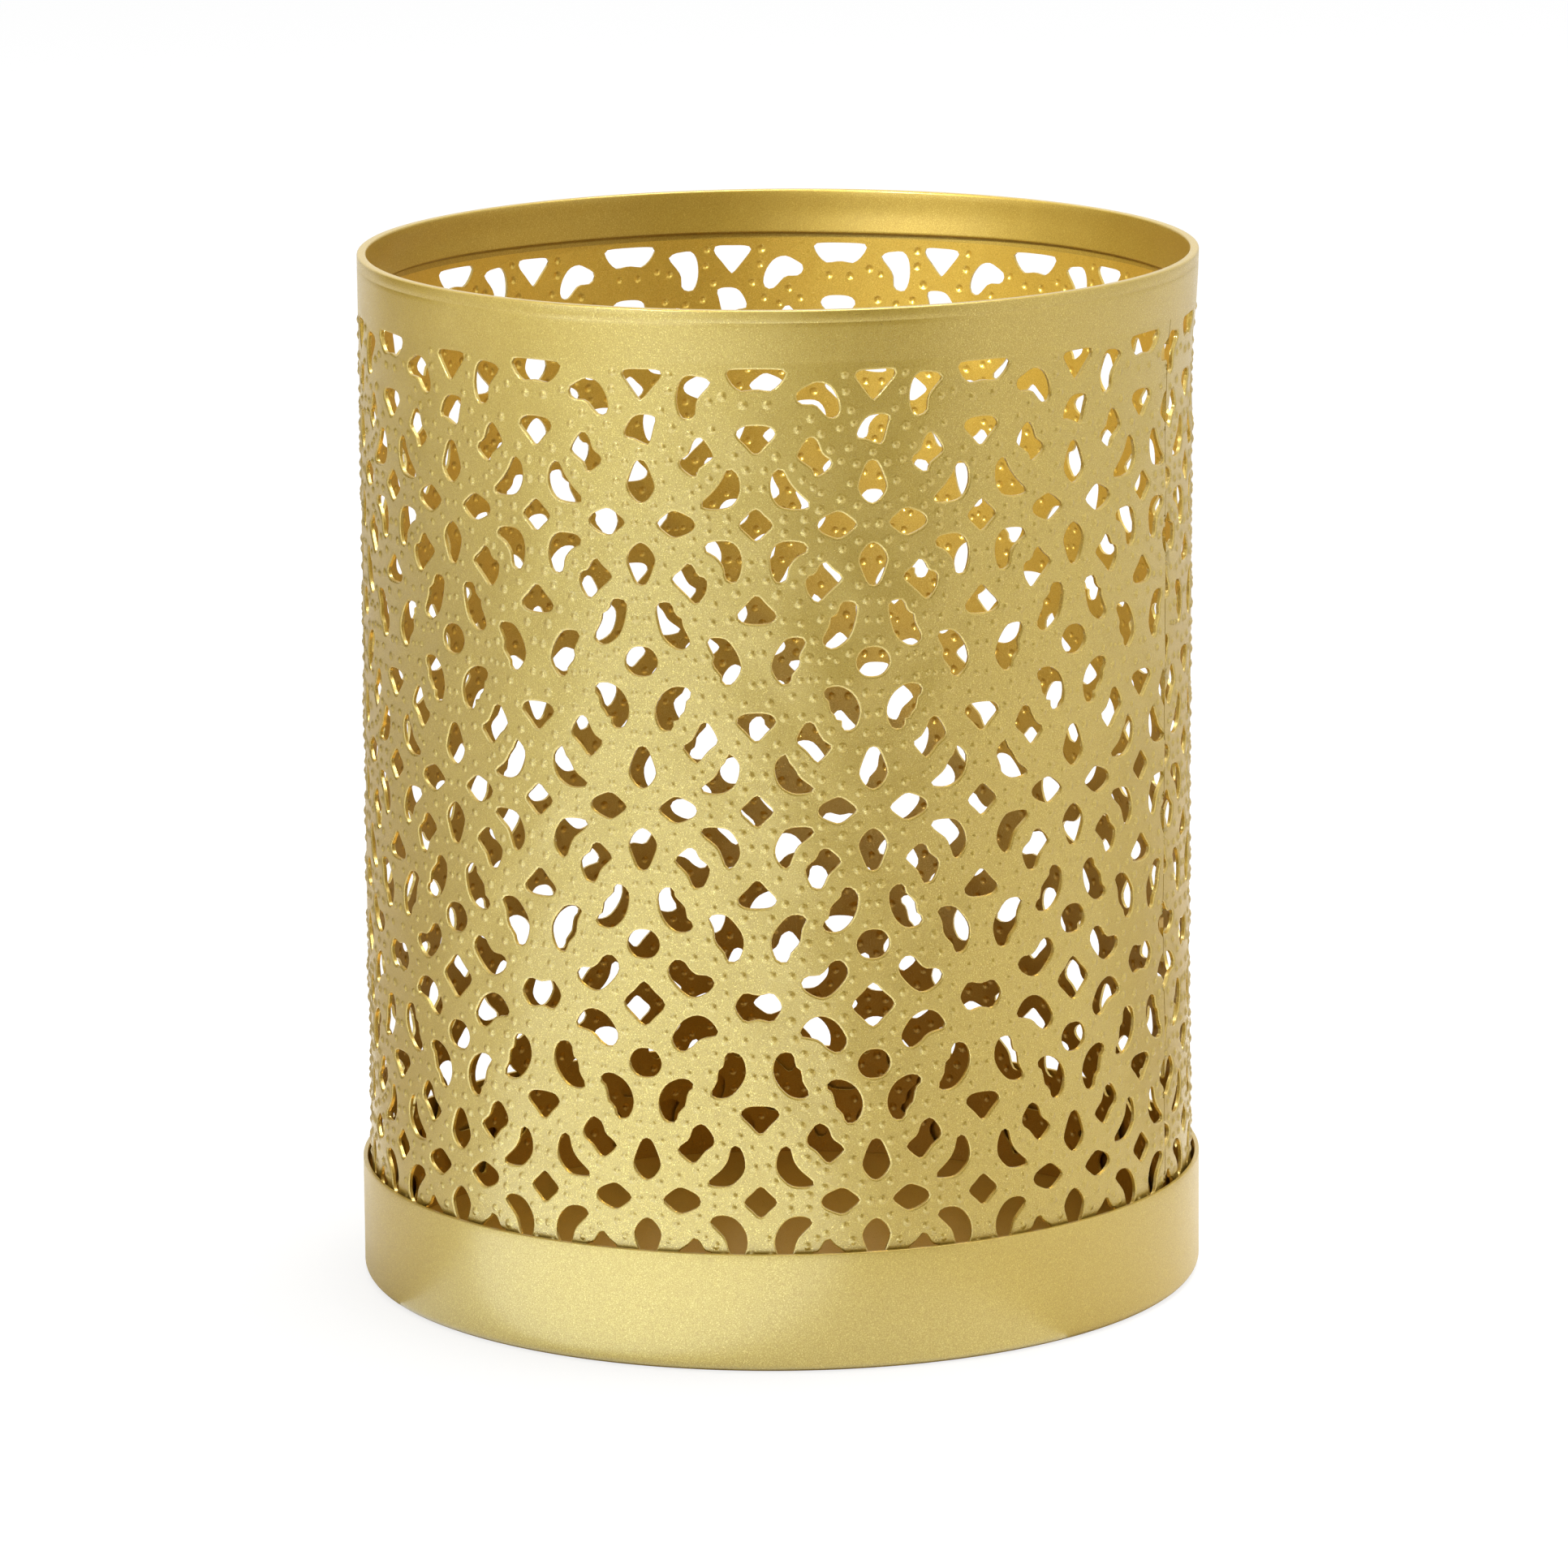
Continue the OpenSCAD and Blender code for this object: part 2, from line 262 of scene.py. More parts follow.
sleeve = {
    "radius": 39.2,            # outside of the sheet
    "sheet": 0.4,
    "bottom": 0.47,
    "top": 93.2,               # where the strip meets the folded rim
    "seamAngle": -23.0,        # degrees from +X towards +Y
    "slit": 0.13,
    "columnAngle": -46.1,      # a column of rosettes
    "columnStep": 31.1,
    "step": 0.0762,            # outlines below are in steps of this, to the right and down
    "stepTop": 98.13,          # the height that they count down from
    "outlinePoints": 24,
    "roundedEdge": 0.19,       # how far the punched edge is rounded over
    "edgeDrop": 0.12,
    "edgeSlope": 0.9,          # how far the normals lean at the punched edge
    "dotRadius": 0.50,         # of a dot with room round it
    "leastDot": 0.38,
    "dotHeight": 0.17,
    "dotSides": 8,
    "browAt": 0.52,            # the brow's ring, as a share of the dot's radius
    "browRise": 0.66,          # and of its height
    "browSlope": 0.5,
    "dimpleDepth": 0.9,        # inside, as a share of the dot's height
    "dimpleSlope": 1.25,       # and of its slope
    "dotSpread": 0.07,         # how much the dots differ in size
    "dotSizes": (0.8, 1.12),   # the smallest and the largest, as shares of dotRadius
    "dotRoom": 0.16,           # from an opening's outline, before both are shifted
    "dotMargin": 0.05,
    "dotFromHole": 0.04,       # flat sheet left beside an opening
    "dotFromDot": 0.02,        # and half of what is left between two dots
    "dotsMeet": 10,            # dots closer than this many steps are one
    "dotsReach": 84,           # how many steps above the first row its own dots go on
    "borderStep": (0.9, 0.8, 0.68),      # between points of the bottom, the sides and the top
    "holeKeep": 0.25,          # least part of an opening beside the seam
    "holeShift": 0.03,         # how unevenly the sheet was punched
    "dotShift": 0.05,
    "bendHeights": (0, 12, 20, 38, 74, 86, 90, 93, 96, 98),
    "flare": (0, 0, -0.10, -0.12, -0.14, -0.16, -0.06, 0.08, 0.17, 0.20),
    "lean": (0, 0, 0, -0.12, 0.06, 0.02, 0.10, 0.24, 0.32, 0.35),
    "ripples": 9,              # soft waves that rolling and punching left in the sheet
    "rippleTurns": (12, 34),   # waves round the tube
    "rippleUpward": (0.15, 0.75),        # radians for each mm up
    "rippleHigh": 0.018,
    "rippleHeights": (12, 20, 84, 92),   # none below the first and above the last
}

rosetteAxis = {   # openings on a rosette column's axis, down the sleeve
    "topWedge": [(-23, 80), (-17, 75), (0, 74), (23, 74.5), (25, 82.5), (15, 95), (3, 109),
                 (-1, 109), (-11, 97)],
    "bell": [(-18, 155), (-17, 145), (-7, 131), (8, 128), (20, 131), (18, 142), (13, 161),
             (8, 163), (-7, 157)],
}
rosetteSides = {   # openings that stand on both sides of a rosette column
    "bone1Up": [(75, 153), (88, 170), (88, 178), (72, 190), (70, 198), (64, 199), (50, 188),
                (51, 180), (60, 173), (66, 158)],
    "bone1Low": [(57, 304), (51, 311), (39, 321), (40, 327), (55, 341), (67, 352), (75, 345),
                 (80, 335), (80, 322), (70, 318), (64, 307)],
    "bone2Up": [(76, 494), (82, 496), (91, 511), (91, 519), (80, 529), (70, 541), (65, 542),
                (51, 526), (52, 522), (60, 517), (66, 508), (72, 496)],
    "bone2Low": [(55, 648), (62, 648), (65, 650), (70, 660), (78, 666), (82, 672), (80, 682),
                 (74, 694), (68, 696), (62, 695), (55, 680), (45, 670), (40, 662)],
    "bone3Up": [(68, 984), (74, 987), (83, 1000), (82, 1010), (72, 1018), (62, 1030), (56, 1033),
                (39, 1018), (45, 1010), (53, 1003), (58, 990)],
    "bone3Low": [(57, 1126), (51, 1133), (39, 1143), (40, 1149), (55, 1163), (67, 1174),
                 (75, 1167), (80, 1157), (80, 1144), (70, 1140), (64, 1129)],
    "crescent1Up": [(112, 191), (120, 200), (121, 218), (113, 233), (100, 238), (80, 238),
                    (76, 232), (90, 218), (100, 205), (106, 193)],
    "crescent1Low": [(78, 284), (85, 278), (107, 277), (118, 285), (122, 300), (119, 318),
                     (113, 326), (103, 322), (100, 307), (90, 295), (80, 290)],
    "crescent2Up": [(106, 533), (112, 537), (118, 545), (117, 560), (110, 573), (95, 581),
                    (78, 580), (72, 575), (88, 562), (95, 550), (100, 545)],
    "crescent2Low": [(72, 627), (78, 621), (102, 622), (112, 631), (118, 645), (117, 658),
                     (108, 670), (102, 668), (98, 658), (92, 645), (80, 635)],
    "crescent3Up": [(109, 1010), (115, 1013), (120, 1025), (120, 1040), (112, 1052), (100, 1060),
                    (80, 1060), (76, 1055), (92, 1040), (100, 1028), (104, 1013)],
    "crescent3Low": [(78, 1105), (85, 1098), (98, 1097), (110, 1102), (120, 1115), (123, 1130),
                     (119, 1144), (109, 1149), (102, 1143), (97, 1127), (90, 1118)],
    "bean1Low": [(35, 351), (26, 351), (19, 355), (20, 370), (27, 392), (40, 404), (50, 407),
                 (58, 402), (60, 396), (55, 386), (51, 378), (50, 370), (45, 367), (40, 361),
                 (38, 353)],
    "bean2Up": [(50, 452), (59, 455), (60, 463), (54, 470), (53, 480), (48, 485), (45, 492),
                (39, 493), (38, 503), (31, 506), (22, 502), (17, 487), (18, 475), (25, 462),
                (38, 453)],
    "bean2Low": [(28, 696), (35, 696), (38, 699), (40, 708), (45, 712), (52, 720), (54, 732),
                 (61, 738), (61, 743), (55, 749), (40, 749), (27, 738), (20, 722), (19, 705)],
    "bean3Up": [(48, 929), (55, 931), (60, 938), (53, 945), (50, 955), (49, 962), (40, 972),
                (37, 982), (30, 984), (22, 980), (16, 965), (18, 950), (27, 937), (40, 930)],
    "bean3Low": [(28, 1173), (35, 1173), (38, 1176), (40, 1185), (45, 1189), (52, 1197),
                 (54, 1209), (61, 1215), (61, 1220), (55, 1226), (40, 1226), (27, 1215),
                 (20, 1199), (19, 1182)],
    "outer1": [(84, 393), (95, 392), (105, 395), (115, 408), (120, 420), (121, 430), (115, 442),
               (107, 449), (99, 446), (98, 438), (88, 425), (89, 415), (84, 405), (81, 398)],
    "outer2": [(81, 733), (86, 728), (95, 727), (105, 730), (118, 745), (123, 757), (122, 770),
               (117, 782), (112, 785), (103, 784), (101, 775), (90, 762), (88, 752), (86, 742)],
    "outer3": [(108, 895), (100, 897), (97, 905), (97, 912), (90, 918), (88, 932), (82, 942),
               (82, 950), (93, 952), (105, 948), (117, 935), (123, 920), (121, 905), (115, 897)],
    "outer4": [(81, 1210), (86, 1205), (95, 1204), (105, 1207), (118, 1222), (123, 1234),
               (122, 1247), (117, 1259), (112, 1262), (103, 1261), (101, 1252), (90, 1239),
               (88, 1229), (86, 1219)],
    "long2": [(40, 784), (50, 785), (58, 795), (66, 801), (80, 802), (87, 808), (86, 815),
              (78, 823), (63, 829), (50, 824), (35, 808), (31, 797), (35, 788)],
    "long3": [(60, 852), (72, 852), (82, 858), (90, 870), (87, 876), (76, 878), (66, 882),
              (58, 890), (48, 896), (40, 894), (34, 884), (36, 875), (46, 860)],
}
commas = {   # the two commas differ, so they aren't mirrored
    "left": [(-92, 105), (-91, 100), (-82, 94), (-68, 88), (-54, 92), (-44, 105), (-40, 120),
             (-43, 129), (-51, 131), (-58, 126), (-69, 115), (-84, 114), (-91, 109)],
    "right": [(85, 88), (79, 83), (68, 81), (55, 81), (47, 92), (45, 112), (50, 129), (58, 132),
              (67, 127), (69, 110), (83, 92)],
}
halfwayAxis = {   # openings on the axis halfway between two rosette columns
    "shield": [(-35, 77), (-31, 72), (0, 71), (31, 72), (35, 77), (28, 89), (18, 97), (8, 96),
               (0, 95), (-8, 96), (-18, 97), (-28, 89)],
    "hexagon": [(-28, 840), (-22, 828), (-15, 823), (0, 826), (15, 823), (22, 828), (28, 840),
                (22, 852), (15, 858), (0, 855), (-15, 858), (-22, 852)],
}
rowAt = [257.5, 601.5, 1079.5]     # the three rows of rosettes
petal = [(0, 75), (7, 71), (15, 52.5), (17, 41.5), (10, 29.5), (0, 23.5), (-10, 29.5),
         (-17, 41.5), (-15, 52.5), (-7, 71)]
kite = [(20.5, 0), (29, -9), (39, -15.5), (47, -15), (62, -8), (67, 0), (62, 8), (47, 15),
        (39, 15.5), (29, 9)]
diamond = [(0, -19), (10, -11), (19.5, 0), (10, 11), (0, 19), (-10, 11), (-19.5, 0), (-10, -11)]
fan = [(-23, -107), (-19, -115), (-9, -118), (9, -118), (19, -115), (23, -107), (12, -95),
       (0, -84), (-12, -95)]
largeDiamond = [(0, 813), (12, 824), (26, 840), (12, 857), (0, 867), (-12, 857), (-26, 840),
                (-12, 824)]
roundOpening = [(20.5, 0), (17, 10), (8, 17), (-8, 17), (-17, 10), (-20.5, 0), (-17, -10),
                (-8, -17), (8, -17), (17, -10)]
roundAt = [424, 766, 913, 1246]

# embossed dots round a rosette's middle, in one quarter
dotsAround = [(8, 0), (18, 21), (38, 30), (63, 18), (82, 8), (106, 8), (62, 38), (28, 50),
              (18, 72), (38, 76), (72, 45), (85, 54), (94, 69), (115, 82), (128, 66), (131, 44),
              (122, 26), (89, 94), (50, 97), (9, 92), (7, 115), (9, 140), (64, 114), (86, 117),
              (107, 113), (124, 131), (72, 137), (133, 154), (30, 155), (53, 158), (78, 159)]
dotsWide = [(131, 178), (30, 178), (62, 179), (86, 182), (123, 200), (98, 200), (9, 192),
            (25, 206), (101, 223), (37, 225), (58, 238.5), (85, 238.5)]
dotsNarrow = [(44, 421), (64, 421), (68, 441), (44, 444), (88, 443), (98, 463)]
dotsTop = [(36, 79), (35, 99), (26, 122), (22, 138), (40, 143), (62, 149), (73, 130), (84, 110),
           (100, 104), (126, 113), (128, 135), (89, 144), (29, 166), (50, 167), (1, 172)]


def moved(outline, down=0.0, side=1, up=1):
    # an outline mirrored by side and up, then shifted down
    return [(side * x, down + up * y) for x, y in outline]


def patternTiles():
    # the smooth outlines of one rosette column and of one halfway column, as arrays of points in steps
    count = sleeve["outlinePoints"]
    column = [*rosetteAxis.values(), largeDiamond, *commas.values()]
    column += [moved(petal, row, 1, up) for row in rowAt for up in (-1, 1)]
    column += [moved(roundOpening, y) for y in roundAt]
    column += [moved(o, 0, side) for o in rosetteSides.values() for side in (-1, 1)]
    column += [moved(kite, row, side) for row in rowAt for side in (-1, 1)]
    halfway = [*halfwayAxis.values(), *(moved(diamond, row) for row in rowAt)]
    halfway += [moved(fan, row, 1, up) for row in rowAt for up in (-1, 1)]
    return (np.array([evenOutline(o, count) for o in column]),
            np.array([evenOutline(o, count) for o in halfway]))


def dotTile():
    # places of the dots of one repeat, in steps: each list mirrored about its rosette's middle and axis
    quarter = np.array(dotsAround, float)
    near = quarter[quarter[:, 1] <= sleeve["dotsReach"]]
    wide = np.array(dotsWide, float)
    parts = [near * (1, -1) + (0, rowAt[0]), quarter + (0, rowAt[0])]
    parts += [quarter * (1, up) + (0, row) for row in rowAt[1:] for up in (-1, 1)]
    parts += [wide + (0, rowAt[1]), wide * (1, -1) + (0, rowAt[2])]
    parts += [np.array(dotsNarrow, float), np.array(dotsTop, float)]
    one = np.vstack(parts)
    both = np.vstack([one, one * (-1, 1)])
    apart = np.linalg.norm(both[:, None] - both[None], axis=2)
    apart[np.tril_indices(len(both))] = np.inf
    return both[apart.min(0) > sleeve["dotsMeet"]]


def stripToRound(s, z, radius):
    # s mm along the sheet from its end at the seam is an angle of s / sleeve radius, turned towards +Y
    turn = math.radians(sleeve["seamAngle"]) + s / sleeve["radius"]
    r, lean = handBent(z, radius)
    return np.stack([r * np.cos(turn) + lean, r * np.sin(turn), z], -1)


def handBent(z, radius):
    # the tube flares at the rim and leans to the right: both read off a line of heights
    heights, flare, lean = (np.array(sleeve[k]) for k in ("bendHeights", "flare", "lean"))
    return radius + np.interp(z, heights, flare), np.interp(z, heights, lean)


def ripple(flat):
    # a sum of cosine waves, each with a whole number of turns round the tube, and its slope along and up
    number = (sleeve["ripples"], 1)
    angle = flat[:, 0] / sleeve["radius"]
    turns = dice.integers(*sleeve["rippleTurns"], number)
    upward = dice.uniform(*sleeve["rippleUpward"], number) * dice.choice([-1, 1], number)
    phase = turns * angle + upward * flat[:, 1] + dice.uniform(0, 2 * np.pi, number)
    high = sleeve["rippleHigh"] * np.interp(flat[:, 1], sleeve["rippleHeights"], (0, 1, 1, 0))
    slope = np.stack([-np.sin(phase) * turns / sleeve["radius"], -np.sin(phase) * upward], -1).sum(0)
    return high * np.cos(phase).sum(0), high[:, None] * slope


def placeOpenings(column, halfway, tops, across, low, high):
    # rings round every opening of the strip from low to high, all counterclockwise, the same rings moved
    # out by roundedEdge, and the way out of the opening at each point
    count = sleeve["outlinePoints"]
    rings = np.vstack([(tile + (tops + (shift, 0))[:, None, None]).reshape(-1, count, 2)
                       for tile, shift in ((column, 0), (halfway, across / 2))])
    rings += dice.normal(0, sleeve["holeShift"], (len(rings), 1, 2))
    least = sleeve["holeKeep"]
    rings = rings[(rings[:, :, 0].max(1) > low + least) & (rings[:, :, 0].min(1) < high - least)]
    after = np.roll(rings, -1, 1)
    area = (rings[..., 0] * after[..., 1] - after[..., 0] * rings[..., 1]).sum(1)
    rings = np.where((area < 0)[:, None, None], rings[:, ::-1], rings)
    along = unit(np.roll(rings, -1, 1) - np.roll(rings, 1, 1))
    outward = np.stack([along[..., 1], -along[..., 0]], -1)
    rounded = rings + outward * sleeve["roundedEdge"]
    for lines in (rings, rounded):
        lines[..., 0] = lines[..., 0].clip(low, high)
    return rings, rounded, outward


def placeDots(dots, holes, tops, across, low, high, rounded):
    # middles, sizes and radii of the dots: none where it would touch an opening or the seam, and smaller
    # ones where there is little room
    toHole = np.linalg.norm(dots[:, None] - holes[None], axis=2).min(1)
    dots = dots[(toHole > sleeve["leastDot"] + sleeve["dotRoom"])
                & (abs(dots[:, 0]) < across / 2 - sleeve["dotMargin"])]
    centres = (dots + tops[:, None]).reshape(-1, 2)
    centres += dice.normal(0, sleeve["dotShift"], centres.shape)
    smallest, largest = sleeve["dotSizes"]
    edge = sleeve["dotRadius"] * largest + sleeve["dotFromDot"]
    centres = centres[(centres[:, 0] > low + edge) & (centres[:, 0] < high - edge)
                      & (centres[:, 1] > sleeve["bottom"] + edge) & (centres[:, 1] < sleeve["top"] - edge)]
    outlines = rounded.reshape(-1, 2)[None]
    gap = np.concatenate([np.linalg.norm(part[:, None] - outlines, axis=2).min(1)
                          for part in np.array_split(centres, 12)])   # a part at a time, to spare memory
    roomy = gap > sleeve["leastDot"] + sleeve["dotMargin"]
    centres, gap = centres[roomy], gap[roomy]
    size = dice.normal(1, sleeve["dotSpread"], len(centres)).clip(smallest, largest)
    radius = np.minimum(sleeve["dotRadius"] * size, gap - sleeve["dotFromHole"])
    apart = np.linalg.norm(centres[:, None] - centres[None], axis=2)
    np.fill_diagonal(apart, np.inf)
    return centres, size, np.minimum(radius, apart.min(1) / 2 - sleeve["dotFromDot"])


def linePoints(a, b, gap):
    # points from a to just before b, about gap apart
    a, b = np.array(a), np.array(b)
    number = max(2, int(np.linalg.norm(b - a) / gap))
    share = np.linspace(0, 1, number, endpoint=False)[:, None]
    return a * (1 - share) + b * share


def loopEdges(begin, number, each):
    # closed loops with so many points each, numbered from begin on, as pairs of neighbours
    ids = begin + np.arange(number * each).reshape(number, each)
    return np.stack([ids, np.roll(ids, -1, 1)], -1).reshape(-1, 2)


def inOpening(middle, ring):
    # a line from the middle to the right crosses the ring an odd number of times
    a, b = ring, np.roll(ring, -1, 1)
    crosses = (a[..., 1] > middle[:, 1:]) != (b[..., 1] > middle[:, 1:])
    high = np.where(crosses, b[..., 1] - a[..., 1], 1)
    cut = a[..., 0] + (middle[:, 1:] - a[..., 1]) * (b[..., 0] - a[..., 0]) / high
    return (crosses & (middle[:, :1] < cut)).sum(1) % 2 == 1


# what a point of the flat strip is
holeEdge, roundedLine, dotFoot, dotBrow, dotTop, plainSheet = range(6)


def sheetStrip():
    # the flat sheet, in mm along the strip and up: rings of points round every opening and dot,
    # triangulated together, without the triangles that lie in an opening
    degree = math.radians(1) * sleeve["radius"]
    length = 360 * degree
    low, high = sleeve["slit"] / 2, length - sleeve["slit"] / 2
    # columns of openings, counted back from the seam's left side, with some to spare past both ends
    across = sleeve["columnStep"] * degree
    columnAt = length + (sleeve["columnAngle"] - sleeve["seamAngle"]) * degree - across * np.arange(-1, 13)
    tops = np.stack([columnAt, np.full(len(columnAt), sleeve["stepTop"])], 1)
    scale = np.array([sleeve["step"], -sleeve["step"]])
    column, halfway = (tile * scale for tile in patternTiles())
    rings, rounded, outward = placeOpenings(column, halfway, tops, across, low, high)
    holes = np.vstack([column.reshape(-1, 2)] + [
        halfway.reshape(-1, 2) + (side * across / 2, 0) for side in (-1, 1)])
    centres, size, dotRadius = placeDots(dotTile() * scale, holes, tops, across, low, high, rounded)
    sides = sleeve["dotSides"]
    spin = np.linspace(0, 2 * np.pi, sides, endpoint=False)
    spoke = np.stack([np.cos(spin), np.sin(spin)], 1)
    foot = centres[:, None] + spoke * dotRadius[:, None, None]
    brow = centres[:, None] + spoke * (dotRadius * sleeve["browAt"])[:, None, None]
    bottom, top = sleeve["bottom"], sleeve["top"]
    alongBottom, alongSides, alongTop = sleeve["borderStep"]
    border = np.vstack([linePoints((low, bottom), (high, bottom), alongBottom),
                        linePoints((high, bottom), (high, top), alongSides),
                        linePoints((high, top), (low, top), alongTop),
                        linePoints((low, top), (low, bottom), alongSides)])

    # all points in the order of their kinds, with the number that each kind begins at
    holeCount, dotCount, count = len(rings), len(centres), sleeve["outlinePoints"]
    points = np.vstack([rings.reshape(-1, 2), rounded.reshape(-1, 2), foot.reshape(-1, 2),
                        brow.reshape(-1, 2), centres, border])
    first = np.cumsum([0, holeCount * count, holeCount * count, dotCount * sides, dotCount * sides,
                       dotCount])
    edges = np.vstack([
        loopEdges(first[holeEdge], holeCount, count), loopEdges(first[roundedLine], holeCount, count),
        loopEdges(first[dotFoot], dotCount, sides), loopEdges(first[plainSheet], 1, len(border))])
    # the 0 asks for every triangle, and points less than the next number apart become one
    made = delaunay_2d_cdt([Vector(p) for p in points.tolist()], edges.tolist(), [], 0, 1e-4, True)
    flat = np.array([tuple(p) for p in made[0]])
    source = np.array([ids[0] if ids else -1 for ids in made[3]])
    triangles = np.array(made[2])
    print("strip:", holeCount, "openings,", dotCount, "dots,", len(triangles), "triangles")

    # what each point is, and how high and how steep the sheet is there
    kind = np.searchsorted(first, source, side="right") - 1
    kind[source < 0] = plainSheet
    hole = np.where(kind == holeEdge, source // count, -1)
    slope = np.zeros((len(flat), 2))
    rise = np.zeros(len(flat))
    onEdge = kind == holeEdge
    slope[onEdge] = outward.reshape(-1, 2)[source[onEdge]] * sleeve["edgeSlope"]
    rise[onEdge] = -sleeve["edgeDrop"]
    brows = kind == dotBrow
    slope[brows] = -np.tile(spoke, (dotCount, 1))[source[brows] - first[dotBrow]] * sleeve["browSlope"]
    browRise = sleeve["dotHeight"] * sleeve["browRise"] * np.repeat(size, sides)
    rise[brows] = browRise[source[brows] - first[dotBrow]]
    peaks = kind == dotTop
    rise[peaks] = (sleeve["dotHeight"] * size)[source[peaks] - first[dotTop]]

    # only a triangle with a corner on an opening's edge can lie in that opening
    cornerHole = hole[triangles].max(1)
    ask = np.flatnonzero(cornerHole >= 0)
    keep = np.ones(len(triangles), bool)
    keep[ask] = ~inOpening(flat[triangles[ask]].mean(1), rings[cornerHole[ask]])
    return flat, triangles[keep], kind, rise, slope


def sheetPiece(name, t, flat, onHole, points, outerNormal, innerNormal, east):
    # the triangles on both faces of the sheet, and a wall on every edge that only one of them has
    total = len(flat)
    pairs = np.vstack([t[:, [0, 1]], t[:, [1, 2]], t[:, [2, 0]]])
    key = pairs[:, 0] * total + pairs[:, 1]
    back = pairs[:, 1] * total + pairs[:, 0]
    p, q = pairs[~np.isin(key, back)].T
    # a wall's two triangles face away from the sheet
    walls = np.vstack([np.stack([p, p + total, q + total], 1), np.stack([p, q + total, q], 1)])
    along = flat[q] - flat[p]
    away = unit(np.stack([along[:, 1], -along[:, 0]], 1))
    smooth = np.zeros((total, 2))
    np.add.at(smooth, p, away)
    np.add.at(smooth, q, away)
    smooth = unit(smooth)

    def wallNormal(ids):
        # smooth round an opening, and square to the wall everywhere else
        use = np.where(onHole[ids][:, None], smooth[ids], away)
        return unit(use[:, :1] * east[ids] + use[:, 1:] * (0, 0, 1))

    atP, atQ = wallNormal(p), wallNormal(q)
    normals = np.concatenate([outerNormal[t], innerNormal[t[:, ::-1]],
                              np.stack([atP, atP, atQ], 1), np.stack([atP, atQ, atQ], 1)])
    faces = np.vstack([t, t[:, ::-1] + total, walls])
    materialOf = np.repeat([outsidePaint, insidePaint, cutPaint], [len(t), len(t), len(walls)])
    # the outer face's rounded rim round each opening also takes the cut paint, whose lighter tone is a
    # painted highlight
    edgeFace = onHole[t].sum(1) >= 2
    materialOf[:len(t)][edgeFace] = cutPaint
    ids = np.unique(faces)
    local = np.full(2 * total, -1)
    local[ids] = np.arange(len(ids))
    piece = addMesh(name, points[ids], local[faces], normals, materialOf, paints)
    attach(piece, "root")
    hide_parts("pierced_sleeve")
    print(name, len(faces), "triangles")


def buildSleeve():
    # the strip rolled up: the same flat points on the sheet's outer and inner face, with the normals that
    # the slopes of dots, edges and ripples give
    flat, triangles, kind, rise, slope = sheetStrip()
    used = np.unique(triangles)
    renumber = np.full(len(flat), -1)
    renumber[used] = np.arange(len(used))
    flat, kind, rise, slope = flat[used], kind[used], rise[used], slope[used]
    triangles = renumber[triangles]
    a, b, c = (flat[triangles[:, k]] for k in range(3))
    turned = (b[:, 0] - a[:, 0]) * (c[:, 1] - a[:, 1]) - (c[:, 0] - a[:, 0]) * (b[:, 1] - a[:, 1]) < 0
    # the strip runs counterclockwise seen from above, so with this its face points outwards
    triangles[turned] = triangles[turned][:, ::-1]

    radius, sheet = sleeve["radius"], sleeve["sheet"]
    turn = math.radians(sleeve["seamAngle"]) + flat[:, 0] / radius
    out = np.stack([np.cos(turn), np.sin(turn), 0 * turn], 1)
    east = np.stack([-np.sin(turn), np.cos(turn), 0 * turn], 1)
    waveRise, waveSlope = ripple(flat)
    dimple = np.maximum(rise, 0) * sleeve["dimpleDepth"]
    outer = stripToRound(flat[:, 0], flat[:, 1], radius + waveRise + rise)
    inner = stripToRound(flat[:, 0], flat[:, 1], radius + waveRise - sheet + dimple)
    onHole = kind == holeEdge
    dimpleSlope = np.where(onHole[:, None], 0, slope * sleeve["dimpleSlope"]) + waveSlope
    outerSlope = slope + waveSlope
    outerNormal = unit(out - outerSlope[:, :1] * east - outerSlope[:, 1:] * (0, 0, 1))
    innerNormal = -unit(out - dimpleSlope[:, :1] * east - dimpleSlope[:, 1:] * (0, 0, 1))
    points = np.vstack([outer, inner])

    # in four pieces of about a quarter turn each, from the seam on
    quarter = (flat[triangles].mean(1)[:, 0] / (math.pi / 2 * radius)).astype(int).clip(0, 3)
    for number, name in enumerate(("sleeveRight", "sleeveBack", "sleeveLeft", "sleeveFront")):
        sheetPiece(name, triangles[quarter == number], flat, onHole, points, outerNormal, innerNormal, east)


buildSleeve()


def cornerArc(centre, radius, fromDegree, toDegree, count):
    # points on a circle about the centre, between two angles
    turn = np.radians(np.linspace(fromDegree, toDegree, count))
    return np.stack([centre[0] + radius * np.cos(turn), centre[1] + radius * np.sin(turn)], 1)


def wave(turn, size, waves, start):
    # size times the sine of so many waves round the axis
    return size * np.sin(waves * turn + start)


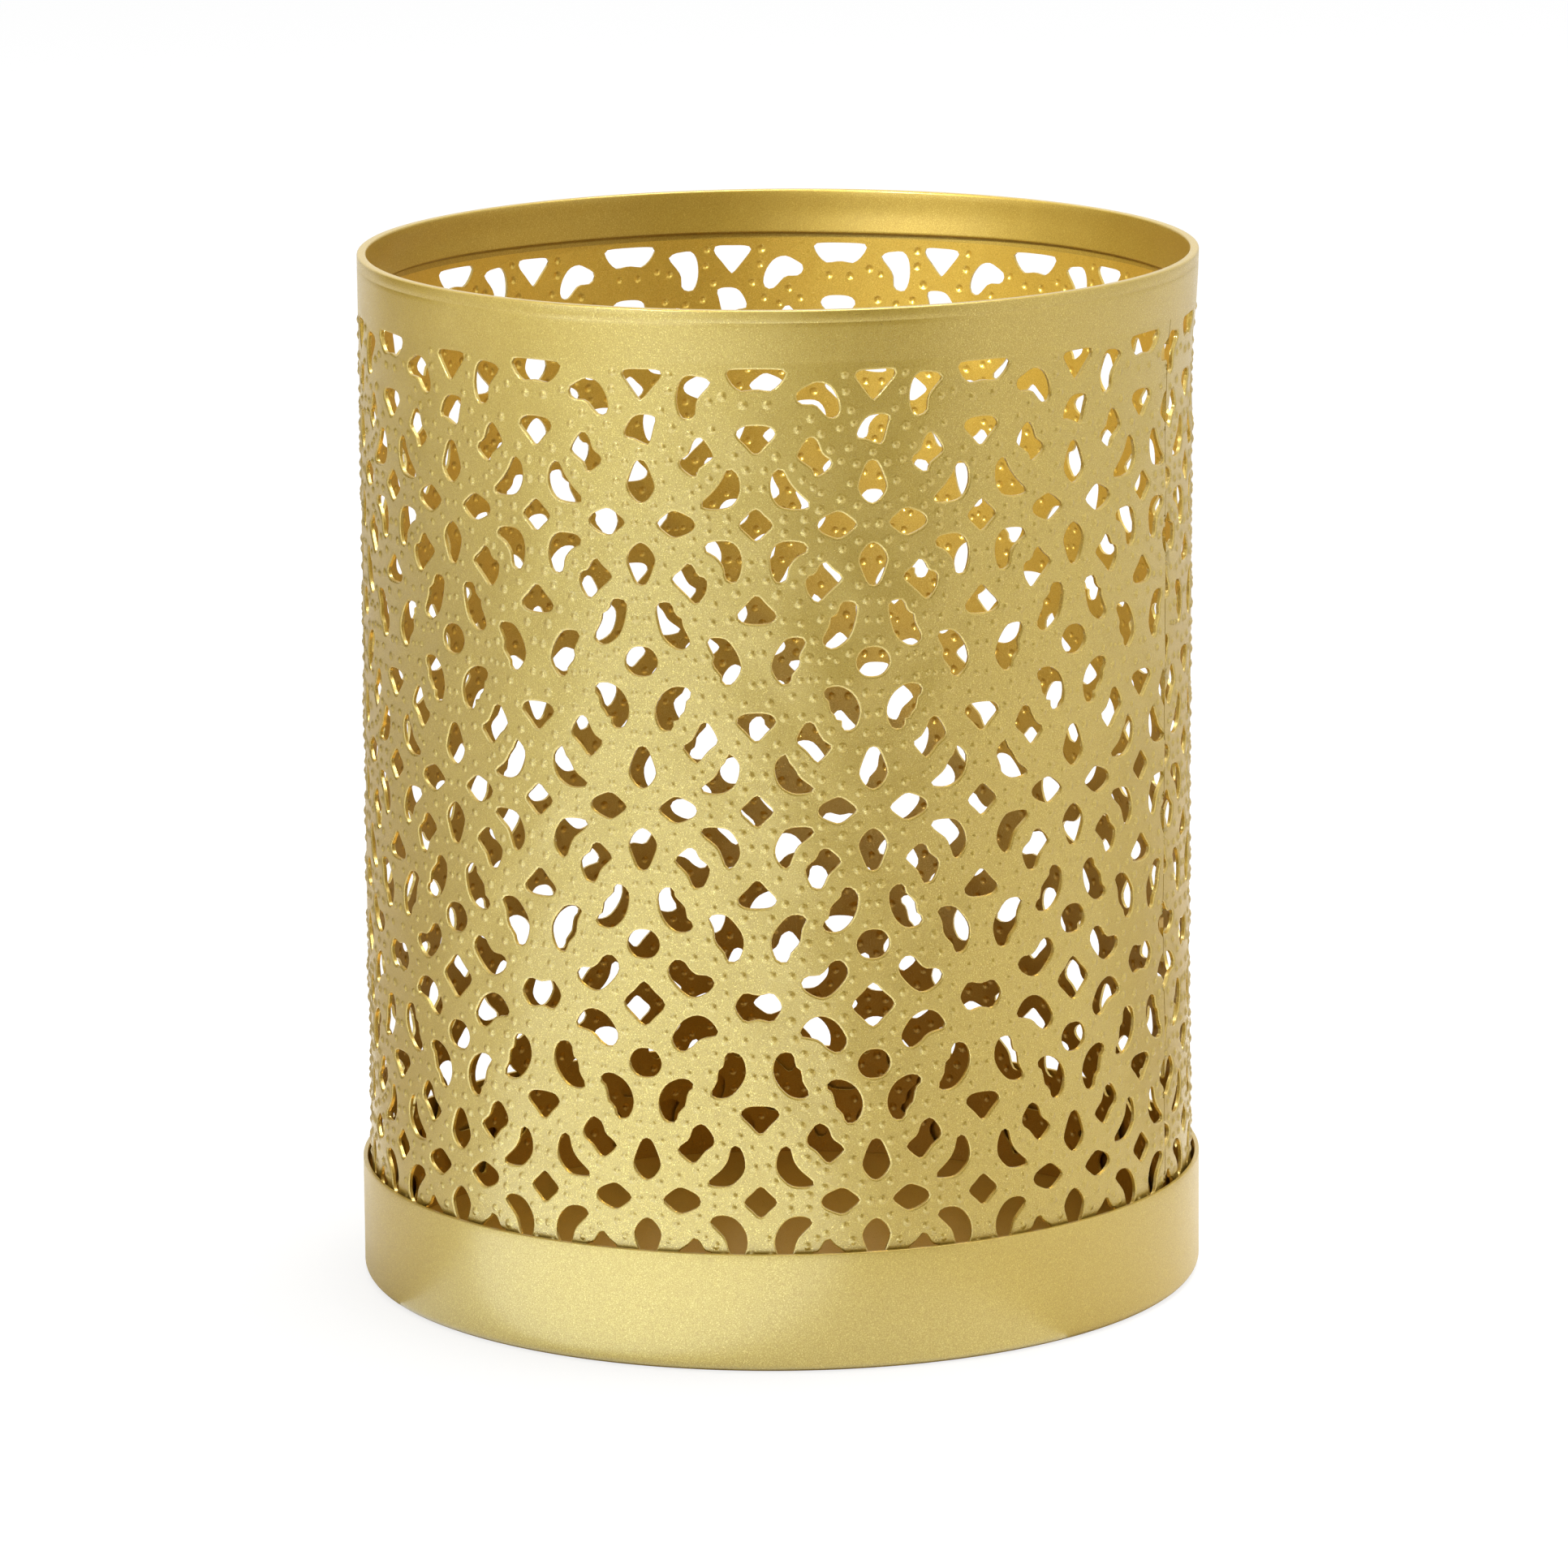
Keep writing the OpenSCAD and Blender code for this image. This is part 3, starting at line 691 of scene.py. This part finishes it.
def turnedPiece(name, profile, rounds, materialAt, shape, sharp=35):
    # a closed cross-section (radius, height) carried round the z axis in equal steps; edges that turn
    # by more than sharp degrees stay sharp
    profile = np.array(profile, float)
    count = len(profile)
    turn = np.linspace(0, 2 * np.pi, rounds, endpoint=False)
    r = np.broadcast_to(profile[:, 0], (rounds, count)).copy()
    z = np.broadcast_to(profile[:, 1], (rounds, count)).copy()
    r, z, lean = shape(turn[:, None], r, z)
    grid = np.stack([r * np.cos(turn[:, None]) + lean, r * np.sin(turn[:, None]), z], -1).reshape(-1, 3)
    i, k = np.meshgrid(np.arange(rounds), np.arange(count), indexing="ij")
    a = i * count + k
    b = ((i + 1) % rounds) * count + k
    c = ((i + 1) % rounds) * count + (k + 1) % count
    d = i * count + (k + 1) % count
    faces = np.stack([a, b, c, d], -1).reshape(-1, 4)
    mesh = bpy.data.meshes.new(name)
    onAxis = profile[:, 0] < 1e-6
    mesh.from_pydata((grid * mm).tolist(), [], faces.tolist())
    for material in paints:
        mesh.materials.append(material)
    middle = (profile + np.roll(profile, -1, 0)) / 2
    mesh.polygons.foreach_set("material_index", np.tile(materialAt(middle), rounds).astype(np.int32))
    mesh.polygons.foreach_set("use_smooth", np.ones(len(faces), bool))
    mesh.update()
    if onAxis.any():   # the points of all steps that lie on the axis become one
        work = bmesh.new()
        work.from_mesh(mesh)
        bmesh.ops.remove_doubles(work, verts=work.verts, dist=1e-7)
        work.to_mesh(mesh)
        work.free()
    mesh.set_sharp_from_angle(angle=math.radians(sharp))
    piece = bpy.data.objects.new(name, mesh)
    bpy.context.scene.collection.objects.link(piece)
    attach(piece, "root")
    return piece


rim = {
    "top": 98.0,
    "landWidth": 0.85,
    "corner": 0.2,             # the fold's outer and inner corner at the lip
    "foldDepth": 4.2,
    "foldIn": 0.06,            # how far the fold draws in towards its lower edge
    "foldGap": 0.07,           # and how far in that rounded edge itself sits
    "foldRound": 0.45,         # of the lower edge, as a share of the sheet
    "foldUp": 0.18,            # that round's middle above foldDepth
    "slitRound": 0.05,         # of the slit's end between the two layers
    "slitDown": 0.12,          # that round's middle below the round of the lip
    "creaseDown": 1.15,        # a shallow groove rolled all round below the lip
    "creaseDeep": 0.03,
    # up from its middle, and share of its depth
    "creaseShape": [(-0.16, 0), (-0.06, 0.6), (0, 1), (0.06, 0.5), (0.14, 0), (0.45, 0)],
    "foldWaves": ((0.07, 3, 0.4), (0.05, 7, 2)),   # of the lower edge: size, waves round and start
    "innerWave": (0.05, 5, 1),
    "rounds": 400,
}


def rimProfile():
    # up the outside, over the lip, down the fold's inside, and back up between the two layers; the plain
    # numbers only space the points
    outside, sheet, top = sleeve["radius"], sleeve["sheet"], rim["top"]
    inner = outside - rim["landWidth"]
    lip = rim["landWidth"] / 2
    crease = top - rim["creaseDown"]
    foot = top - rim["foldDepth"]
    deep, corner, gap = rim["creaseDeep"], rim["corner"], rim["foldGap"]
    endRound = sheet * rim["foldRound"]
    points = [(outside, sleeve["top"])]
    points += [(outside, z) for z in np.linspace(sleeve["top"] + 0.6, crease - 0.5, 4)]
    points += [(outside - deep * share, crease + up) for up, share in rim["creaseShape"]]
    points += cornerArc((outside - corner, top - corner), corner, 0, 90, 5).tolist()
    points += cornerArc((inner + corner, top - corner), corner, 90, 180, 5).tolist()
    points += [(inner, crease + 0.35), (inner, crease), (inner, crease - 0.3)]
    points += [(inner - rim["foldIn"] * share, z) for share, z in zip(
        np.linspace(0.1, 1, 5), np.linspace(crease - 0.8, foot + 0.3, 5))]
    points += cornerArc((inner + endRound - gap, foot + rim["foldUp"]), endRound, 190, 350, 6).tolist()
    points += [(inner + sheet - gap, foot + 0.4), (inner + sheet - 0.02, top - 1.2)]
    slitEnd = (outside - lip, top - lip - rim["slitDown"])
    points += cornerArc(slitEnd, rim["slitRound"], 170, 10, 4).tolist()
    points += [(outside - sheet, z) for z in (top - 1.3, foot + 0.1, foot - 0.22, sleeve["top"])]
    return points


def rimShape(turn, r, z):
    # the fold's lower edge wanders a little round the rim, and the tube's own bend is added
    face = sleeve["radius"] - sleeve["sheet"]
    low = np.clip((rim["top"] - 2.5 - z) / 1.5, 0, 1) * (z > sleeve["top"] + 0.05) * (r < face + 0.01)
    wide, narrow = rim["foldWaves"]
    z = z + low * (wave(turn, *wide) + wave(turn, *narrow))
    r = r - low * (r < face - 0.02) * (rim["innerWave"][0] + wave(turn, *rim["innerWave"]))
    r, lean = handBent(z, r)
    return r, z, lean


def rimMaterial(middle):
    # a darker, warmer copy of the outside paint on the fold's inside and below it, as painted shade, and a
    # dark painted shade in the corner where the fold ends
    r, z = middle.T
    face = sleeve["radius"] - sleeve["sheet"]
    inside = (r < sleeve["radius"] - rim["landWidth"] + 0.04) | (abs(r - face) < 0.02)
    # painted shade: the fold's rounded lower edge and a narrow strip of the wall just under it
    corner = (z < rim["top"] - rim["foldDepth"] + 0.2) & (r < face + 0.02) & (z > sleeve["top"] + 0.35)
    return np.where(corner, paintedShadePaint, np.where(inside, foldPaint, outsidePaint))


rimPiece = turnedPiece("sleeveRim", rimProfile(), rim["rounds"], rimMaterial, rimShape)
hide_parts("pierced_sleeve")


cup = {
    "radius": 40.0,
    "height": 11.2,
    "sheet": 0.45,
    "outerBend": 1.0,
    "innerBend": 0.55,
    "edge": 0.09,             # the trimmed edge is hardly rounded
    "underRings": (0, 12, 24, 34, 37.5),   # radii of the points on the underside
    "floorRings": (37.0, 30, 18, 0),       # and on the floor
    "edgeWave": (0.05, 2, 0.8),            # of the trimmed edge: size, waves round and start
    "wallWave": (0.02, 3, 0),
    "rounds": 400,
}


def cupProfile():
    # from the middle of the underside out, up the wall, over the trimmed edge, and back along the floor;
    # the plain numbers only space the points
    r, h, t = cup["radius"], cup["height"], cup["sheet"]
    bend, inBend, edge = cup["outerBend"], cup["innerBend"], cup["edge"]
    points = [(ring, 0.0) for ring in cup["underRings"]]
    points += cornerArc((r - bend, bend), bend, -90, 0, 10).tolist()
    points += [(r, z) for z in np.linspace(bend + 0.8, h - 0.8, 7)]
    points += cornerArc((r - edge, h - edge), edge, 0, 90, 5).tolist()
    points += cornerArc((r - t + edge, h - edge), edge, 90, 180, 5).tolist()
    points += [(r - t, z) for z in np.linspace(h - 0.8, inBend + t + 0.6, 5)]
    points += cornerArc((r - t - inBend, t + inBend), inBend, 0, -90, 6).tolist()
    points += [(ring, t) for ring in cup["floorRings"]]
    return points


def cupShape(turn, r, z):
    # the trimmed edge isn't quite level, and the wall not quite round
    high = np.clip((z - 8) / 3, 0, 1)
    z = z - high * (cup["edgeWave"][0] + wave(turn, *cup["edgeWave"]))
    r = r - np.clip(z / 4, 0, 1) * (r > 38) * (cup["wallWave"][0] + wave(turn, *cup["wallWave"]))
    return r, z, 0


def cupMaterial(middle):
    # the inside's paint from the wall's inner face in, above the underside, and the base's on the rest
    wall = middle[:, 0] > cup["radius"] - cup["sheet"] + 0.05
    inside = (~wall) & (middle[:, 1] > 0.2)
    return np.where(inside, insidePaint, basePaint)


cupPiece = turnedPiece("cupShell", cupProfile(), cup["rounds"], cupMaterial, cupShape)
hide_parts("base_cup")

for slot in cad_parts["seam_tacks"].material_slots:
    slot.material = goldInside
print("rim and cup turned")


studio = {   # metres and watts
    "floor": (0.93, 0.93, 0.93),
    "floorSize": 3.0,
    "floorGlow": 0.72,          # how far the camera sees the floor as white; the rest keeps the shadow
    "floorWhite": 1.08,
    "world": 0.56,
    "cardColour": (0.71, 0.93, 1.42),
    "softboxes": {              # place, where it points, width, height, watts
        "rightSoftbox": ((1.0, -0.30, 0.40), (0, 0, 0.05), 1.0, 0.8, 1.0),
        "topSoftbox": ((0.15, 0.10, 1.1), (0, 0, 0.08), 0.6, 0.6, 10.0)},
    "cards": {                  # only show as reflections: one stands, two lie on the table
        "standingCard": ((-0.64, -0.68, 0.28), (0, 0, 0.05), 0.80, 0.55, 2.2),
        "tableCard": ((-0.13, -0.24, 0.0002), (-0.13, -0.24, 1), 0.28, 0.46, 0.39),
        "footCard": ((-0.022, -0.046, 0.0003), (-0.022, -0.046, 1), 0.115, 0.06, 0.0105)},
    "flatCards": {"tableCard": -28, "footCard": 0},   # how far those that lie are turned, in degrees
    "spot": ((-0.48, -0.57, 0.64), (-0.002, 0.004, 0.108)),
    "spotWatts": 85,
    "spotAngle": 3.8,           # degrees across
    "spotBlend": 0.6,
    "spotSize": 0.03,
    "darkFlag": (0.15, 0.08, 0.025),
    "paleFlag": (0.60, 0.55, 0.50),
    "darkFlags": {              # place, width, height
        "rightFlag": ((0.17, -0.40, 0.12), 0.30, 0.34),
        "leftFlag": ((-0.52, 0.30, 0.16), 0.36, 0.34)},
    "floorFlags": {
        "leftFloorFlag": ((-0.17, 0.26, 0.0004), 0.20, 0.50),
        "rightFloorFlag": ((0.17, 0.26, 0.0004), 0.20, 0.50)},
}


def floorMaterial(name, colour, glow):
    # a plain diffuse colour, mixed with white light by glow where the camera looks at it
    p = Paint(bpy.data.materials.new(name))
    rays = p.node("ShaderNodeLightPath")
    seen = (rays["Is Camera Ray"] + rays["Is Transmission Ray"]).clip()
    plain = p.node("ShaderNodeBsdfDiffuse", {}, {"Color": (*colour, 1)})["BSDF"]
    white = p.node("ShaderNodeEmission", {}, {"Color": (1, 1, 1, 1),
                                              "Strength": studio["floorWhite"]})["Emission"]
    p.node("ShaderNodeOutputMaterial", {}, {"Surface": p.mixShader(seen * glow, plain, white)})
    return p.owner


def square(name, width, height, paint):
    # a flat rectangle about its own middle
    w, h = width / 2, height / 2
    mesh = bpy.data.meshes.new(name)
    mesh.from_pydata([(-w, -h, 0), (w, -h, 0), (w, h, 0), (-w, h, 0)], [], [(0, 1, 2, 3)])
    mesh.materials.append(paint)
    piece = bpy.data.objects.new(name, mesh)
    bpy.context.scene.collection.objects.link(piece)
    return piece


def turnTowards(place, target):
    # the turn that points the -Z axis from the place at the target
    return (Vector(target) - Vector(place)).to_track_quat("-Z", "Y").to_euler()


def buildWorld():
    # plain white for camera, glossy and transmission rays, and softer for the light that falls on things
    world = bpy.data.worlds.new("studioWorld")
    bpy.context.scene.world = world
    p = Paint(world)
    rays = p.node("ShaderNodeLightPath")
    glows = [p.node("ShaderNodeBackground", {}, {"Color": (1, 1, 1, 1), "Strength": strength})["Background"]
             for strength in (studio["world"], 1.0)]
    straight = rays["Is Camera Ray"].math("MAXIMUM", rays["Is Transmission Ray"])
    seenWhite = straight.math("MAXIMUM", rays["Is Glossy Ray"])
    p.node("ShaderNodeOutputWorld", {}, {"Surface": p.mixShader(seenWhite, *glows)})


def softbox(name, place, target, width, height, watts):
    # an area lamp of width by height that points at the target
    lamp = bpy.data.lights.new(name, "AREA")
    lamp.shape, lamp.size, lamp.size_y, lamp.energy = "RECTANGLE", width, height, watts
    made = bpy.data.objects.new(name, lamp)
    made.location = place
    made.rotation_euler = turnTowards(place, target)
    bpy.context.scene.collection.objects.link(made)
    return made


def flag(name, place, width, height, paint, flat=False):
    # a sheet that only shows in reflections, upright and turned to the part or flat on the table
    made = square(name, width, height, paint)
    made.location = place
    if not flat:
        made.rotation_euler = turnTowards(place, (0, 0, place[2]))
    made.visible_camera = made.visible_diffuse = made.visible_shadow = made.visible_transmission = False


def buildStudio():
    # the floor, the world, the lamps and the cards and flags, each from its row in the dictionary
    size = 2 * studio["floorSize"]
    square("studioFloor", size, size, floorMaterial("paleFloor", studio["floor"], studio["floorGlow"]))
    buildWorld()
    dark = floorMaterial("darkFlag", studio["darkFlag"], 0)
    for name, lamp in studio["softboxes"].items():
        softbox(name, *lamp)
    cards = {name: softbox(name, *card) for name, card in studio["cards"].items()}
    for name, degrees in studio["flatCards"].items():
        cards[name].rotation_euler = (math.pi, 0, math.radians(degrees))
        cards[name].data.shape = "ELLIPSE"
    for card in cards.values():
        card.visible_diffuse = card.visible_camera = False
        card.data.color = studio["cardColour"]
    # a spot from the front left that goes over the lip and lights the inside of the back wall
    beam = bpy.data.lights.new("mouthSpot", "SPOT")
    beam.energy, beam.spot_size = studio["spotWatts"], math.radians(studio["spotAngle"])
    beam.spot_blend, beam.shadow_soft_size = studio["spotBlend"], studio["spotSize"]
    spot = bpy.data.objects.new("mouthSpot", beam)
    place, target = studio["spot"]
    spot.location, spot.rotation_euler = place, turnTowards(place, target)
    spot.visible_camera = False
    bpy.context.scene.collection.objects.link(spot)
    # flags give the metal something darker to show beside the white
    for name, sheet in studio["darkFlags"].items():
        flag(name, *sheet, dark)
    pale = floorMaterial("paleFlag", studio["paleFlag"], 0)
    for name, sheet in studio["floorFlags"].items():
        flag(name, *sheet, pale, flat=True)


buildStudio()


shot = {   # the photo's camera, fitted to the rim, the wall and the base
    "place": (0.0, -763.9, 209.9),
    "pitchDown": 12.07,
    "yaw": -0.16,
    "roll": -0.49,
    "lens": 188.9,
    "shiftX": 0.018,
    "sensor": 36,
    "clip": (0.01, 20),   # metres
}


def placeCamera():
    # forward from yaw and pitch, right level with the ground, then both turned by the roll
    data = bpy.data.cameras.new("photoCamera")
    data.lens, data.sensor_width, data.sensor_fit = shot["lens"], shot["sensor"], "AUTO"
    data.shift_x = shot["shiftX"]
    data.clip_start, data.clip_end = shot["clip"]
    camera = bpy.data.objects.new("photoCamera", data)
    camera.location = Vector(shot["place"]) * mm
    yaw, pitch, roll = (math.radians(shot[k]) for k in ("yaw", "pitchDown", "roll"))
    forward = Vector((math.sin(yaw) * math.cos(pitch), math.cos(yaw) * math.cos(pitch), -math.sin(pitch)))
    right = forward.cross(Vector((0, 0, 1))).normalized()
    above = right.cross(forward)
    turnedRight = right * math.cos(roll) + above * math.sin(roll)
    turnedUp = above * math.cos(roll) - right * math.sin(roll)
    turn = Matrix((turnedRight, turnedUp, -forward)).transposed()
    camera.rotation_euler = turn.to_euler()
    bpy.context.scene.collection.objects.link(camera)
    bpy.context.scene.camera = camera


placeCamera()
bpy.context.scene.view_settings.view_transform = "Standard"

print("studio ready")
